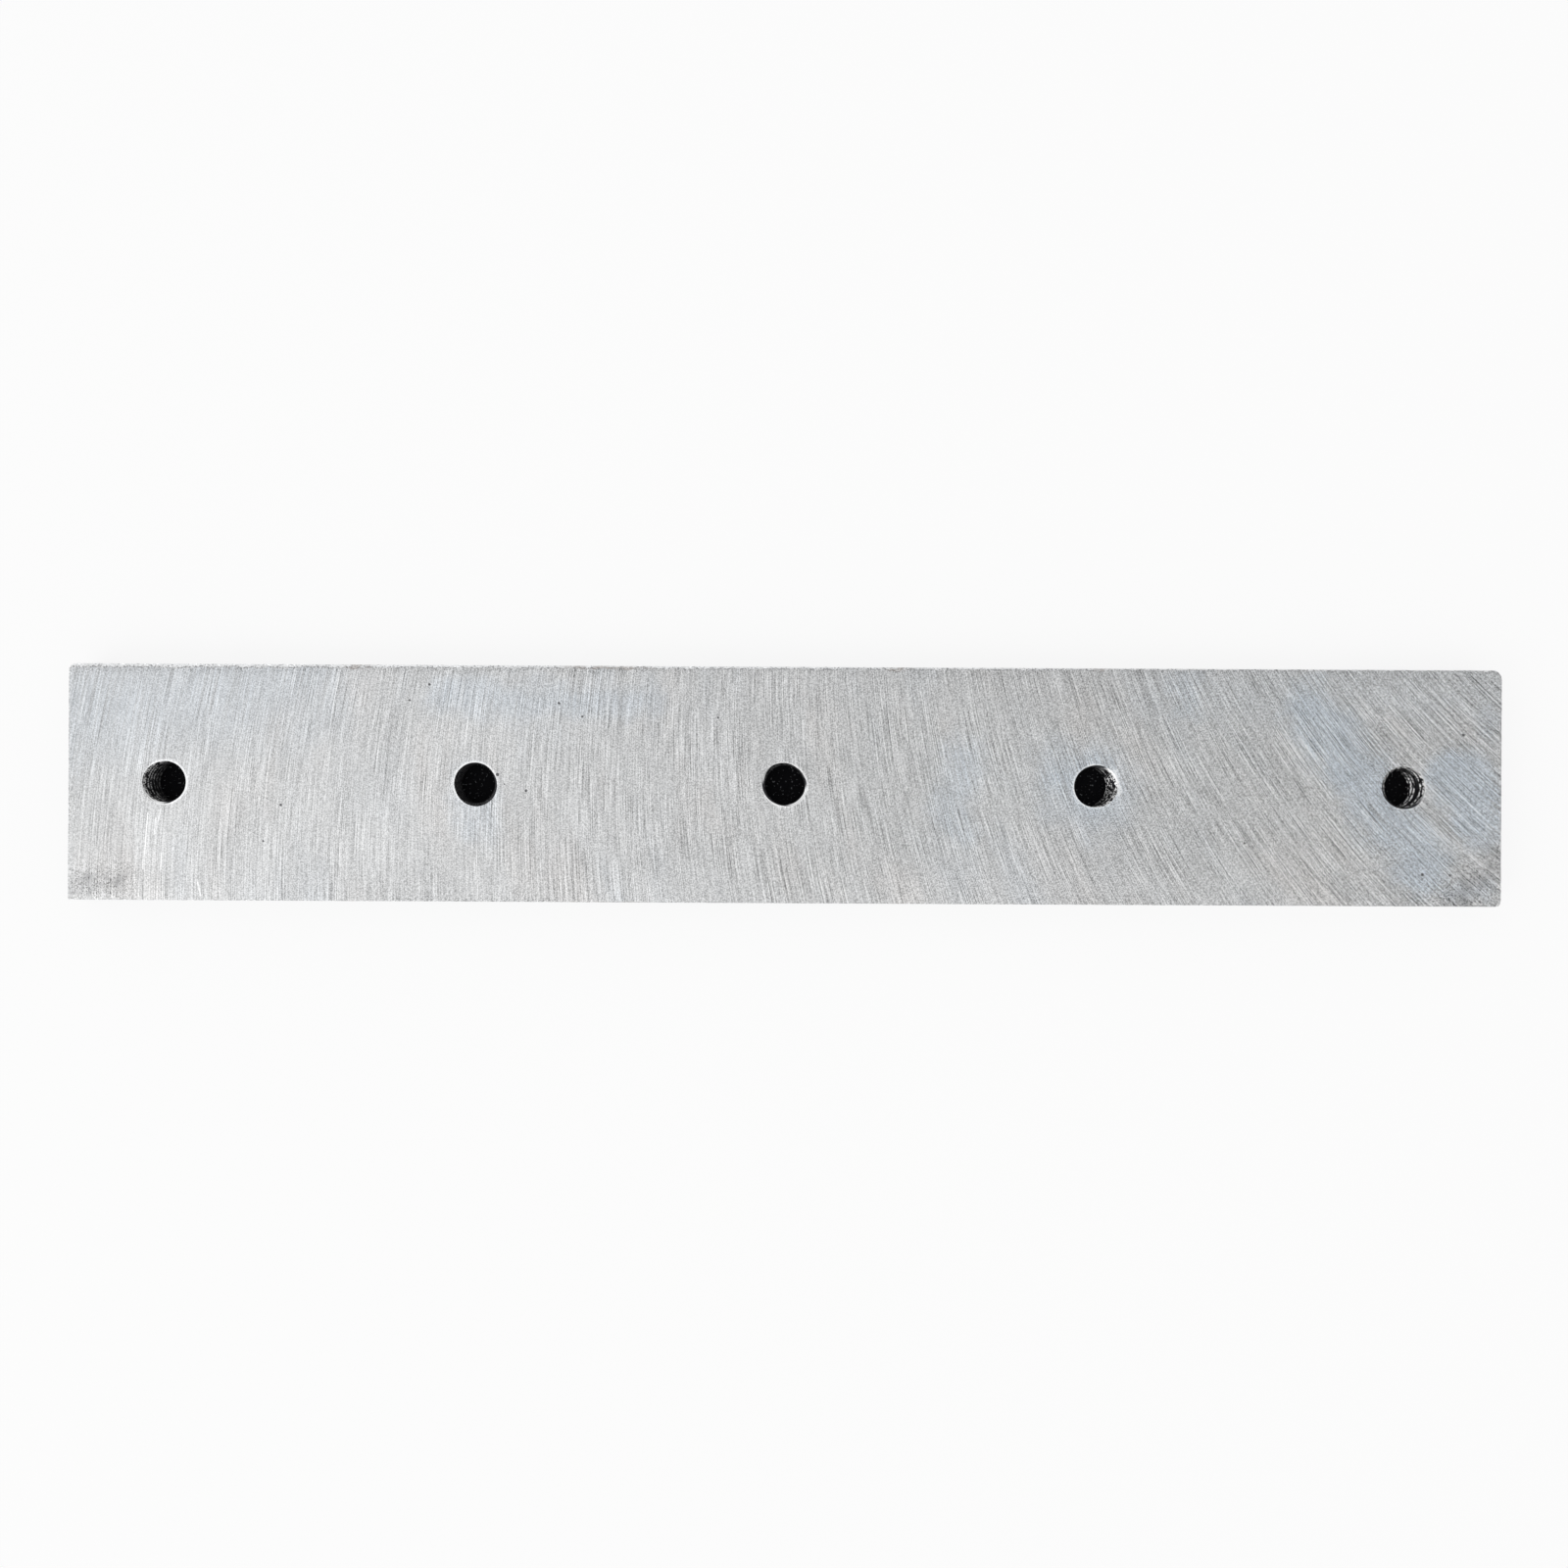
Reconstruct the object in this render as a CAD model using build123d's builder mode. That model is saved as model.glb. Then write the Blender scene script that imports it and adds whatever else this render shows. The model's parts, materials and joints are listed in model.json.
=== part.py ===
from build123d import *
import os

# Counter knife: a flat ground steel bar with a row of tapped fixing holes.
# The bar lies on its underside. X runs along its length, Y across its width
# and Z up through its thickness, with the origin under the middle of the bar.
# The front long edge (-Y) is the sharp one, and the back one (+Y) is worn.
# All sizes are in millimetres.

# Fixing holes, a single row along the middle of the bar's width
hole_count = 5
hole_pitch = 80.0
end_margin = 25.0  # from the last hole's centre to the end of the bar

# Ground bar
bar_width = 61.0
bar_thickness = 10.0
bar_length = (hole_count - 1) * hole_pitch + 2 * end_margin

# Thread core, as drilled for an M12 x 1.75 thread, with its mouths deburred
core_diameter = 10.2
mouth_break = 0.3

# Corners in plan, each worn round by a different amount
front_left_radius = 0.5
front_right_radius = 1.5
back_left_radius = 1.7
back_right_radius = 2.4

# Short edges at the two ends, dressed with a file
end_break = 0.3

# Worn land along the top of the back edge, which narrows from left to right
land_width_left = 1.1
land_width_right = 0.4
land_drop_left = 0.35
land_drop_right = 0.12

half_length = bar_length / 2
half_width = bar_width / 2
mid_height = bar_thickness / 2

with BuildPart() as counter_knife:
    # Plan outline, with a radius of its own at each corner
    with BuildSketch() as plan:
        Rectangle(bar_length, bar_width)
        for along, across, radius in (
            (0, 0, front_left_radius),
            (0, -1, back_left_radius),
            (-1, 0, front_right_radius),
            (-1, -1, back_right_radius),
        ):
            corner = plan.vertices().group_by(Axis.X)[along].sort_by(Axis.Y)[across]
            fillet(corner, radius)
    extrude(amount=bar_thickness)

    # Side profile, which breaks the short edges and leaves the long ones sharp
    with BuildSketch(Plane.XZ) as side_profile:
        with Locations((0, mid_height)):
            Rectangle(bar_length, bar_thickness)
        chamfer(side_profile.vertices(), end_break)
    extrude(amount=half_width, both=True, mode=Mode.INTERSECT)

    # Worn land, lofted from its section at the left end to that at the right
    with BuildSketch(Plane.YZ.offset(-half_length)):
        with Locations((half_width, bar_thickness)):
            Polygon((0, 0), (-land_width_left, 0), (0, -land_drop_left), align=None)
    with BuildSketch(Plane.YZ.offset(half_length)):
        with Locations((half_width, bar_thickness)):
            Polygon((0, 0), (-land_width_right, 0), (0, -land_drop_right), align=None)
    loft(mode=Mode.SUBTRACT)

    # Cores of the tapped holes, right through, deburred at both mouths
    with GridLocations(hole_pitch, 0, hole_count, 1):
        Hole(core_diameter / 2)
    rims = counter_knife.edges().filter_by(GeomType.CIRCLE).filter_by(lambda rim: rim.is_closed)
    chamfer(rims, mouth_break)

counter_knife.part.label = "knife_bar"

os.makedirs("parts", exist_ok=True)
export_step(counter_knife.part, "parts/knife_bar.step")
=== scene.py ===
import json
import math
from typing import NamedTuple

import bmesh
import bpy
import numpy as np
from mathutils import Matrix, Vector, noise
from mathutils.geometry import delaunay_2d_cdt


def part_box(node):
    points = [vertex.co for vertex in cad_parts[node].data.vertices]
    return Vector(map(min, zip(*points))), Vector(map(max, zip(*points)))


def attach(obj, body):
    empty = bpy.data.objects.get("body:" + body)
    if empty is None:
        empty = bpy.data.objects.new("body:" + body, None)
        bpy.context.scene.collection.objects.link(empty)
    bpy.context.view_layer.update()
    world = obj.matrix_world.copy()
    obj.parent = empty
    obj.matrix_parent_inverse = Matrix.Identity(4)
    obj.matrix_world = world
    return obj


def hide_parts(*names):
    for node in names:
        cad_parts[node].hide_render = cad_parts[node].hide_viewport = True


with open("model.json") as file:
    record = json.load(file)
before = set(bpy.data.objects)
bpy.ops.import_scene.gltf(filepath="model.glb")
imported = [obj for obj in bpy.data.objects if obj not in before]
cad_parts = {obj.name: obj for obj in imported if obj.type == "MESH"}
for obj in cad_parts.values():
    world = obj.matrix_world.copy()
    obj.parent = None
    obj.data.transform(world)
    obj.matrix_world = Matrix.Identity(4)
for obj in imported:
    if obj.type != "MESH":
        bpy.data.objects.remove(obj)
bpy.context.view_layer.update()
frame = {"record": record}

# The bar's own sizes, read from the frame and kept in millimetres
MM = 0.001
BAR_HIGH = Vector(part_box("knife_bar")[1]) / MM
HALF_LENGTH = BAR_HIGH.x
HALF_WIDTH = BAR_HIGH.y
THICKNESS = BAR_HIGH.z
HOLES = [m for m in frame["record"]["mounts"] if m["kind"] == "threaded_hole"]
HOLE_CENTRES = [(m["pos_m"][0] / MM, m["pos_m"][1] / MM) for m in HOLES]
HOLE_PITCH = HOLE_CENTRES[1][0] - HOLE_CENTRES[0][0]
CORE_RADIUS = HOLES[0]["dims"]["r_mm"]

# Camera: straight above, a little to the left of the bar's middle
PHOTO_SIZE_PX = 1600
PX_PER_MM = 3.954
BAR_CENTRE_PX = (801.0, 801.0)
CAMERA_HEIGHT = 364.0  # above the top face
CAMERA_X = -8.0
CAMERA_ROLL_DEG = 0.3
SENSOR_WIDTH = 36.0

# Plan outline: corner radii from the front left one round to the back left one
CORNER_SIGNS = ((-1, -1), (1, -1), (1, 1), (-1, 1))
CORNER_RADII = (0.5, 1.5, 2.4, 1.7)
CORNER_STEP = 0.3
LEAST_CORNER_STEPS = 5
BACK_STEP = 0.3
PLAIN_STEP = 0.6

# Edge wear, as width on the face and drop down the side
FRONT_BREAK = np.array((0.10, 0.08))
END_BREAK = np.array((0.30, 0.30))
BACK_LAND_LEFT = np.array((1.05, 0.34))
BACK_LAND_RIGHT = np.array((0.30, 0.12))
LEAST_WEAR = 0.04
LAND_ROWS = 8
SIDE_ROWS = 4
BREAK_ROWS = 5

# Unevenness of that wear: sizes of its lumps, and how far they change the wear
BROAD_LUMPS = 3.0
SMALL_LUMPS = 0.8
SMALL_LUMPS_LEVEL = 9
SMALL_LUMPS_SHARE = 0.7
BACK_UNEVENNESS = 0.5
END_UNEVENNESS = 0.3
DENT_DEPTH = 0.16
DENT_SIZE = 0.55
DENT_CHANGE = 7  # from the strip's inner to its outer edge, in the dents' noise
DENT_SPREAD = 0.4
DENT_INSET = 0.3

# Chips out of the back edge: place along the bar, half length, extra wear
BACK_CHIPS = (
    (-110.4, 2.0, 0.20),
    (-61.0, 1.2, 0.18),
    (29.0, 3.0, 0.32),
    (81.7, 1.2, 0.30),
    (180.5, 1.3, 0.28),
)
CHIP_WIDTH = 1.6  # on the face, for each millimetre down the side
CHIP_FULLNESS = 0.6

# Pits in the top face: place, radius and depth
TOP_PITS = (
    (-74.2, 2.3, 0.42, 0.16),
    (-72.4, -0.2, 0.20, 0.08),
    (-66.8, -1.8, 0.34, 0.12),
    (-91.9, 25.5, 0.34, 0.12),
    (-97.0, 21.4, 0.28, 0.10),
    (-58.4, 20.8, 0.36, 0.12),
    (-52.4, 17.4, 0.30, 0.10),
    (-17.3, 17.3, 0.28, 0.10),
    (-130.1, -5.8, 0.34, 0.12),
    (-134.6, -15.2, 0.28, 0.10),
    (164.6, -22.3, 0.40, 0.12),
    (171.7, -22.5, 0.36, 0.12),
    (175.0, 13.8, 0.40, 0.12),
    (118.6, -14.4, 0.30, 0.10),
)
PIT_RINGS = (0.3, 0.6, 0.85, 1.0, 1.25)
PIT_SIDES = 14
PIT_LUMPS = 1.3
PIT_UNEVENNESS = 0.35

# Grid that keeps the face's triangles short, and how far it stays from rim, holes and pits
FACE_GRID_STEP = 5.0
EDGE_CLEARANCE = 3.0
HOLE_CLEARANCE = 1.0
PIT_CLEARANCE = 1.0

# Joining of the patches into one surface
SAME_POINT = 1e-7
SHARP_ANGLE = math.radians(28)  # between faces, beyond which their edge is shaded sharp

# M12 x 1.75 thread cut into the hole cores
THREAD_PITCH = 1.75
MAJOR_RADIUS = 6.0
ROOT_FLAT = THREAD_PITCH / 8
FLANK_SLOPE = math.tan(math.radians(30))
MOUTH_BREAK = 0.30
MOUTH_RADIUS = CORE_RADIUS + MOUTH_BREAK
MOUTH_DEPTH = 0.45
MOUTH_ROWS = 6
THREAD_COLUMNS = 120
FLANK_ROWS = 4
THREAD_ROUGHNESS = 0.035
THREAD_LUMPS = 0.4
SPARE_TURNS = 2

# Direction, seen from above, in which each groove runs out into the top face
GROOVE_ANGLES_DEG = (205, 300, 150, 10, 160)

# Where each mouth is dressed wider: direction, reach to either side, extra width
MOUTH_WEAR = ((225, 60, 0.35), (0, 180, 0.0), (-35, 60, 0.40), (20, 60, 0.50), (140, 70, 0.12))

# Bright parts of the mouths' cones, bare steel and partly painted highlights where the cones face
# the light, near black elsewhere: start, end, width, strength
BARE_AND_LIT_MOUTHS = (
    ((-165.6, -1.4), (-161.6, -5.4), 5.0, 1.5),
    ((-5.2, 1.8), (-1.8, 5.2), 4.0, 1.2),
    ((5.2, -1.6), (2.2, -5.2), 5.0, 1.2),
    ((85.6, -1.6), (84.2, 3.8), 5.0, 1.8),
    ((165.4, -3.2), (165.4, 3.2), 5.0, 0.8),
)

# Rotary table grinding: wheel arcs swept round a table axis beside the bar
TABLE_AXIS_TOP = (92.7, 234.3)
TABLE_AXIS_UNDER = (-118.0, -246.0)
WHEEL_OFFSET = 266.2
WHEEL_RADIUS = 262.1
ARC_SPREAD = 240.0  # millimetres across the marks for each radian of table turn

# Stray scratches on the top face, the dark ones cut in and the bright ones painted glints: start,
# end, width and change in brightness
SCRATCHES_AND_GLINTS = (
    ((-135.9, -3.1), (-128.8, -6.6), 0.30, -0.30),
    ((-140.4, -11.2), (-134.6, -14.2), 0.30, -0.30),
    ((-30.7, 7.7), (-20.8, 8.2), 0.26, 0.22),
    ((30.5, 12.8), (33.3, 6.7), 0.34, -0.34),
    ((150.6, 19.6), (160.1, 9.0), 0.34, 0.30),
    ((166.5, 1.5), (186.4, -6.9), 0.34, 0.26),
    # Bright streaks below the left-hand hole and by the front edge: painted glints
    ((-164.4, -8.0), (-165.6, -22.4), 0.60, 0.55),
    ((-162.4, -9.4), (-162.8, -13.6), 0.60, 0.50),
    ((-160.8, -18.6), (-161.0, -22.6), 0.60, 0.55),
    ((-161.0, -7.0), (-161.8, -10.4), 0.50, 0.40),
    ((-151.4, -26.0), (-150.7, -29.2), 0.80, 0.50),
)

# Faintly blue tints on parts of the top face: start, end, width and strength
BLUE_TINTS = (
    ((-190.0, 18.0), (-125.0, 27.0), 54.0, 0.40),
    ((-88.0, 22.0), (-36.0, 21.0), 18.0, 0.50),
    ((-80.5, 2.0), (-79.0, -10.0), 16.0, 0.45),
    ((45.5, 8.0), (44.0, -10.0), 20.0, 0.55),
    ((76.0, 2.0), (80.0, -2.0), 34.0, 0.90),
    ((102.5, 27.0), (104.0, 20.0), 16.0, 0.55),
    ((95.0, 24.0), (180.0, 24.0), 32.0, 0.22),
    ((135.0, 22.0), (165.0, -20.0), 24.0, 1.10),
    ((174.5, 3.0), (178.5, -6.0), 24.0, 1.50),
    ((181.0, 20.0), (183.0, 14.0), 13.0, 0.45),
    ((163.0, -26.0), (181.0, -26.0), 9.0, 0.45),
)

# Patches of the top face painted brighter or darker, as painted sheen and painted shade for how the
# light falls: start, end, width, change
PAINTED_LIGHT_PATCHES = (
    ((-157.0, -5.0), (-154.0, -18.0), 28.0, 0.03),
    ((-162.4, -11.0), (-163.4, -19.0), 9.0, 0.05),
    ((-182.0, -12.0), (-182.0, 16.0), 30.0, -0.04),
    ((-175.0, -30.0), (-90.0, -30.0), 30.0, -0.08),
    ((-86.0, 6.0), (-92.0, -12.0), 40.0, 0.03),
    # Bright band right of the fourth hole's mouth: a painted highlight
    ((86.3, -1.6), (85.2, 3.8), 2.6, 0.60),
    ((48.0, 14.0), (60.0, -22.0), 32.0, 0.05),
    ((40.0, -28.0), (130.0, -28.0), 26.0, 0.05),
)

# Dirty corners of the top face: start, end, width and strength
DIRTY_PATCHES = (
    ((-184.0, 28.9), (-30.0, 29.6), 2.6, 0.4),
    ((-188.0, -27.0), (-172.0, -26.0), 15.0, 1.0),
    ((-186.0, -20.0), (-186.0, 14.0), 7.0, 0.5),
    ((174.0, -29.0), (186.0, -19.0), 20.0, 1.0),
    ((-100.0, -31.0), (-60.0, -31.0), 5.0, 0.6),
)

# Faint rust along the back edge: place along the bar and reach
RUST_SPOTS = ((-110.4, 5.0), (-46.0, 16.0), (29.0, 5.0), (81.7, 3.0))


class Lumps(NamedTuple):
    """A noise: the size of its lumps in millimetres, a level of its own, and its detail."""

    cell: tuple
    level: float = 0.0
    detail: float = 2.0


# Colours of the steel, bare, tinted, dirty and near black
FACE_COLOUR = (0.604, 0.609, 0.613)
FACE_BLUE = (0.548, 0.592, 0.640)
FACE_WARM = (0.618, 0.610, 0.606)
SPECK_COLOUR = (0.20, 0.20, 0.21)
RUST = (0.27, 0.215, 0.18)
SIDE_COLOUR = (0.47, 0.48, 0.49)
SIDE_DULL = (0.33, 0.325, 0.32)
LAND_BRIGHT = (0.86, 0.87, 0.88)
LAND_ROUGH = (0.66, 0.665, 0.67)
THREAD_DARK = (0.010, 0.010, 0.011)
THREAD_BARE = (0.64, 0.64, 0.64)
MOUTH_DARK = (0.05, 0.05, 0.055)
MOUTH_BARE_AND_LIT = (0.95, 0.955, 0.96)
PIT_DARK = (0.10, 0.10, 0.105)
PIT_GRAIN_COLOUR = (0.26, 0.26, 0.265)
MAT_COLOUR = (0.010, 0.010, 0.012)
DUST_COLOUR = (0.22, 0.23, 0.24)

# Noises of a ground face: across the marks, along them, and through
FINE_MARKS = Lumps((0.14, 9.0, 1.0), 3.0, 1.0)
FEED_MARKS = Lumps((0.22, 22.0, 1.0), 8.0, 1.0)
GLINTS = Lumps((0.18, 24.0, 1.0), 21.0, 1.0)
SCORES = Lumps((0.18, 24.0, 1.0), 34.0, 1.0)
GRAIN = Lumps((0.17, 0.6, 1.0), 13.0)
BUNDLES = Lumps((5.0, 30.0, 1.0), 1.0, 3.0)
TINT_PATCHES = Lumps((16.0, 40.0, 1.0), 2.0, 3.0)

# Noises in the object's own directions, or along a side, down it, and through
SPECKS = Lumps((0.30, 0.30, 0.30), 5.0)
SPECK_CLUSTERS = Lumps((3.0, 3.0, 3.0), 7.0)
TINT_PUSHES = (Lumps((10.0, 10.0, 10.0), 15.0), Lumps((10.0, 10.0, 10.0), 19.0))
SIDE_LINES = Lumps((16.0, 0.14, 1.0), 3.0)
SIDE_BANDS = Lumps((50.0, 0.8, 1.0), 6.0)
SIDE_STREAKS = Lumps((24.0, 1.6, 1.0), 9.0, 4.0)
SIDE_SPECKS = Lumps((0.30, 0.30, 0.30))
EDGE_GRIT = Lumps((0.50, 0.32, 0.32), 0.0, 3.0)
EDGE_LUMPS = Lumps((2.5, 1.5, 1.5), 4.0)
RUST_BLOTCHES = Lumps((2.0, 1.0, 1.0), 11.0, 3.0)
PIT_GRAINS = Lumps((0.12, 0.12, 0.12))
THREAD_GRIT = Lumps((0.36, 0.36, 0.30), 9.0)
MAT_DUST = Lumps((0.6, 0.6, 0.6), 4.0)

# Noises of a tapped wall: round it, down it, and from hole to hole
TORN_FLANKS = Lumps((1.2, 0.28, 40.0), 0.0, 3.0)
TORN_BANDS = Lumps((12.0, 2.2, 40.0), 4.0)

# Where each pattern fades in: from nothing at the first value to full at the second
MARK_FADE = (0.36, 0.64)
SCORE_FADE = (0.60, 0.70)
BUNDLE_FADE = (0.15, 0.60)
WARM_FADE = (0.50, 0.25)
BLUE_FADE = (0.50, 0.75)
CLUSTER_FADE = (0.45, 0.70)
SPECK_FADE = (0.70, 0.76)
STREAK_FADE = (0.52, 0.72)
EDGE_GLINT_FADE = (0.42, 0.34)
EDGE_SPECK_FADE = (0.57, 0.64)
BLOTCH_FADE = (0.35, 0.60)
TORN_FADE = (0.43, 0.51)
BAND_FADE = (0.32, 0.42)
THREAD_GRIT_FADE = (0.43, 0.50)
PIT_GRAIN_FADE = (0.45, 0.65)
DUST_FADE = (0.64, 0.70)

# How far each pattern changes the brightness of a ground face
FINE_SHADE = 0.52
FEED_SHADE = 0.40
SCORE_SHADE = 0.50
GRAIN_SHADE = 0.70
SPECK_SHADE = 0.62
BUNDLE_SHADE = 0.06
GRIME_SHADE = -0.06
MARKS_STRENGTH = 0.90  # at the bar's middle
HEAVIER_TO_THE_RIGHT = 0.0015  # gain in the marks' strength for each millimetre of X
SPECK_COVER = 0.6

# Blue of a ground face, in warped tints and in patches between them
TINT_WARP = 7.0
PATCH_BLUE = 0.25
BLUE_IN_MARKS = (0.7, 0.65)  # gain with the feed marks, and least share

# Added to the specks' noise, for more of them where the face is dirty and in clusters
GRIME_SPECKS = 0.16
CLUSTER_SPECKS = 0.08

# Painted highlight: a bright ring round each mouth on the top face, weaker at the right-hand hole
RING_HIGHLIGHT_WIDTH = 0.80
RING_HIGHLIGHT_GAIN = 0.65
RING_HIGHLIGHT_LOSS = 0.7

# How far each pattern changes the brightness of the sides and of the worn edge
SIDE_LINE_SHADE = 0.22
SIDE_BAND_SHADE = 0.40
SIDE_SPECK_SHADE = 0.40
SIDE_DULLNESS = 0.6
EDGE_LUMP_SHADE = 0.5
EDGE_SPECK_COVER = 0.85
EDGE_SPECKS_INSIDE = 0.10
EDGE_INNER_DROP = (0.10, 0.03)  # below the face, over which the strip turns rough
RUST_COVER = 0.5
RUST_CORE = 1 / 3  # of a rust spot's reach, inside which it is at its strongest

# Tapped walls: places along the bar where the look changes, and how bright the flanks are
RIGHT_HAND_HOLE = (110.0, 130.0)
LEFT_HAND_HOLE = (-110.0, -130.0)
BRIGHT_SIDE = (30.0, 60.0)
BRIGHT_GAIN = (0.90, 0.08)  # over that side, and least value
LEFT_HOLE_BRIGHT = 0.60
LEFT_HOLE_DARK_Z = 1.0  # where that hole's wall starts to be brighter upwards
DARK_CREST_REACH = 0.02  # outward from the core, where the near black of the thread's crests ends
FLANK_START = 0.20  # outward from the core, from where the flanks are at their barest
DARK_BAND_Z = 4.6  # middle of a darker band in the right-hand hole
DARK_BAND_FADE = (1.2, 0.7)
MOUTH_FADE = 0.08
MOUTH_FACING = (0.0, 0.2)
MOUTH_RING_PITCH = 0.33  # of the fine rings that the deburring tool turned
MOUTH_RING_SHADE = (0.3, 0.8)

# Roughness of each finish: gain with its pattern, and least value
FACE_ROUGHNESS = (0.10, 0.30)
SIDE_ROUGHNESS = (0.25, 0.22)
EDGE_ROUGHNESS = (0.30, 0.30)
WALL_ROUGHNESS = (0.20, 0.20)
PIT_ROUGHNESS = (0.30, 0.35)
MOUTH_ROUGHNESS_GAIN = 0.25
MAT_ROUGHNESS = 0.9
MAT_SPECULAR = 0.1

# Relief of each finish in millimetres, and the share of it that fine patterns have
FINE_RELIEF = 0.005
EDGE_RELIEF = 0.03
WALL_RELIEF = 0.04
PIT_RELIEF = 0.02
GRAIN_RELIEF_SHARE = 0.5
SIDE_SPECK_RELIEF_SHARE = 0.4

# Light from the world: strength at the low and high end of each axis, and where it changes
LIGHT_SWEEPS = {"X": (1.05, 0.715, -0.16, 0.22), "Y": (1.13, 0.88, -0.30, 0.30)}

# Square key lamp, with its place and size in metres
KEY_PLACE = (-0.80, -0.50, 0.80)
KEY_SIZE = 0.5
KEY_RADIANCE = 2.0

# Pale floor, and the dark mat under the bar, hidden but for the holes, which it makes near black
FLOOR_GLOW = 0.84  # share of plain white in what the camera sees of the floor by the bar
FLOOR_GLOW_FULL = (300.0, 900.0)  # from the bar's middle, where that share grows to one
FLOOR_COLOUR = (0.85, 0.85, 0.85, 1)
FLOOR_HALF = 3000
FLOOR_DROP = 0.2  # below the bar's underside
MAT_INSET = 12  # of the dark mat under the bar, from the bar's outline
MAT_DROP = 0.1

# Order of the bar's materials
GROUND, UNDERSIDE, SIDE, WORN, THREAD, PIT = range(6)


def ragged(x, y, z, size):
    """Smooth noise between about -1 and 1, with lumps of the given size in millimetres."""
    return noise.noise(Vector((x, y, z)) / size)


def corner_centre(corner):
    """Middle of a plan corner's arc."""
    (sx, sy), radius = CORNER_SIGNS[corner], CORNER_RADII[corner]
    return np.array((sx * (HALF_LENGTH - radius), sy * (HALF_WIDTH - radius)))


def outline():
    """Plan outline counterclockwise from the front left corner, as points and outward normals."""
    rows = []
    for corner, radius in enumerate(CORNER_RADII):
        steps = max(LEAST_CORNER_STEPS, round(radius * math.pi / 2 / CORNER_STEP))
        for angle in np.linspace(0, math.pi / 2, steps + 1) + math.pi * (1 + corner / 2):
            out = np.array((math.cos(angle), math.sin(angle)))
            rows.append((*(corner_centre(corner) + radius * out), *out))
        begin = np.array(rows[-1][:2])
        following = (corner + 1) % len(CORNER_RADII)
        end = corner_centre(following) + CORNER_RADII[following] * out
        step = BACK_STEP if out[1] > 0.5 else PLAIN_STEP
        steps = round(np.linalg.norm(end - begin) / step)
        for t in np.arange(1, steps) / steps:
            rows.append((*(begin + t * (end - begin)), *out))
    rows = np.array(rows)
    return rows[:, :2], rows[:, 2:]


def edge_wear(points, out):
    """Width and drop of the wear at each outline point, and its share of back edge."""
    back_share = np.clip(out[:, 1], 0, 1) ** 2
    front_share = np.clip(-out[:, 1], 0, 1) ** 2
    end_share = out[:, 0] ** 2
    along = ((points[:, 0] + HALF_LENGTH) / (2 * HALF_LENGTH))[:, None]
    land = BACK_LAND_LEFT * (1 - along) + BACK_LAND_RIGHT * along
    small = np.array([ragged(x, y, SMALL_LUMPS_LEVEL, SMALL_LUMPS) for x, y in points])
    lumps = np.array([ragged(x, y, 0, BROAD_LUMPS) for x, y in points])
    lumps = lumps + SMALL_LUMPS_SHARE * small
    uneven = 1 + BACK_UNEVENNESS * lumps
    land = land * uneven[:, None]
    for place, half, extra in BACK_CHIPS:
        bump = np.clip(1 - ((points[:, 0] - place) / half) ** 2, 0, 1) ** CHIP_FULLNESS
        land = land + np.outer(bump * uneven, (CHIP_WIDTH * extra, extra))
    wear = front_share[:, None] * FRONT_BREAK
    wear = wear + end_share[:, None] * END_BREAK * (1 + END_UNEVENNESS * lumps)[:, None]
    return np.clip(wear + back_share[:, None] * land, LEAST_WEAR, None), back_share


def edge_rings():
    """Closed rings of points from the top face's rim, over the edges, to the underside's rim."""
    points, out = outline()
    wear, back_share = edge_wear(points, out)
    width, drop = wear.T
    under = FRONT_BREAK + np.outer(out[:, 0] ** 2, END_BREAK - FRONT_BREAK)
    rings = []

    def add_ring(inset, z):
        xy = points - out * np.broadcast_to(inset, len(points))[:, None]
        rings.append(np.column_stack((xy, np.broadcast_to(z, len(points)))))

    for t in np.linspace(0, 1, LAND_ROWS):
        angle = t * math.pi / 2
        rough = np.array([ragged(x, y, DENT_CHANGE * t, DENT_SIZE) for x, y in points])
        dent = DENT_DEPTH * back_share * math.sin(math.pi * t)
        dent = dent * np.clip(DENT_SPREAD + rough, 0, None)
        inset = width * (1 - math.sin(angle)) + DENT_INSET * dent
        add_ring(inset, THICKNESS - drop * (1 - math.cos(angle)) - dent)
    for t in np.linspace(0, 1, SIDE_ROWS + 2)[1:-1]:
        add_ring(0.0, (THICKNESS - drop) * (1 - t) + under[:, 1] * t)
    for t in np.linspace(0, 1, BREAK_ROWS):
        angle = t * math.pi / 2
        add_ring(under[:, 0] * (1 - math.cos(angle)), under[:, 1] * (1 - math.sin(angle)))
    return rings


def mouth_width(wear, angle):
    """Width of a top mouth's deburred cone at an angle, where part of it is dressed wider."""
    direction, reach, extra = wear
    off = (math.degrees(angle) - direction + 180) % 360 - 180
    return MOUTH_BREAK + extra * max(0, 1 - (off / reach) ** 2)


def wall_point(centre, phase, wear, angle, z):
    """Point of a tapped hole's wall at an angle and height, with its mouths broken."""
    turn = (z / THREAD_PITCH - angle / (2 * math.pi) + phase) % 1
    from_root = abs(turn - 0.5) * THREAD_PITCH
    groove = MAJOR_RADIUS - max(0, from_root - ROOT_FLAT / 2) / FLANK_SLOPE
    depth = min(z, THICKNESS - z)
    width = mouth_width(wear, angle) if z > THICKNESS / 2 else MOUTH_BREAK
    radius = max(CORE_RADIUS, groove, CORE_RADIUS + width * (1 - depth / MOUTH_BREAK))
    cos, sin = math.cos(angle), math.sin(angle)
    rough = ragged(centre[0] + radius * cos, centre[1] + radius * sin, z, THREAD_LUMPS)
    radius += THREAD_ROUGHNESS * rough * min(1, depth / MOUTH_DEPTH)
    return (centre[0] + radius * cos, centre[1] + radius * sin, z)


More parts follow.
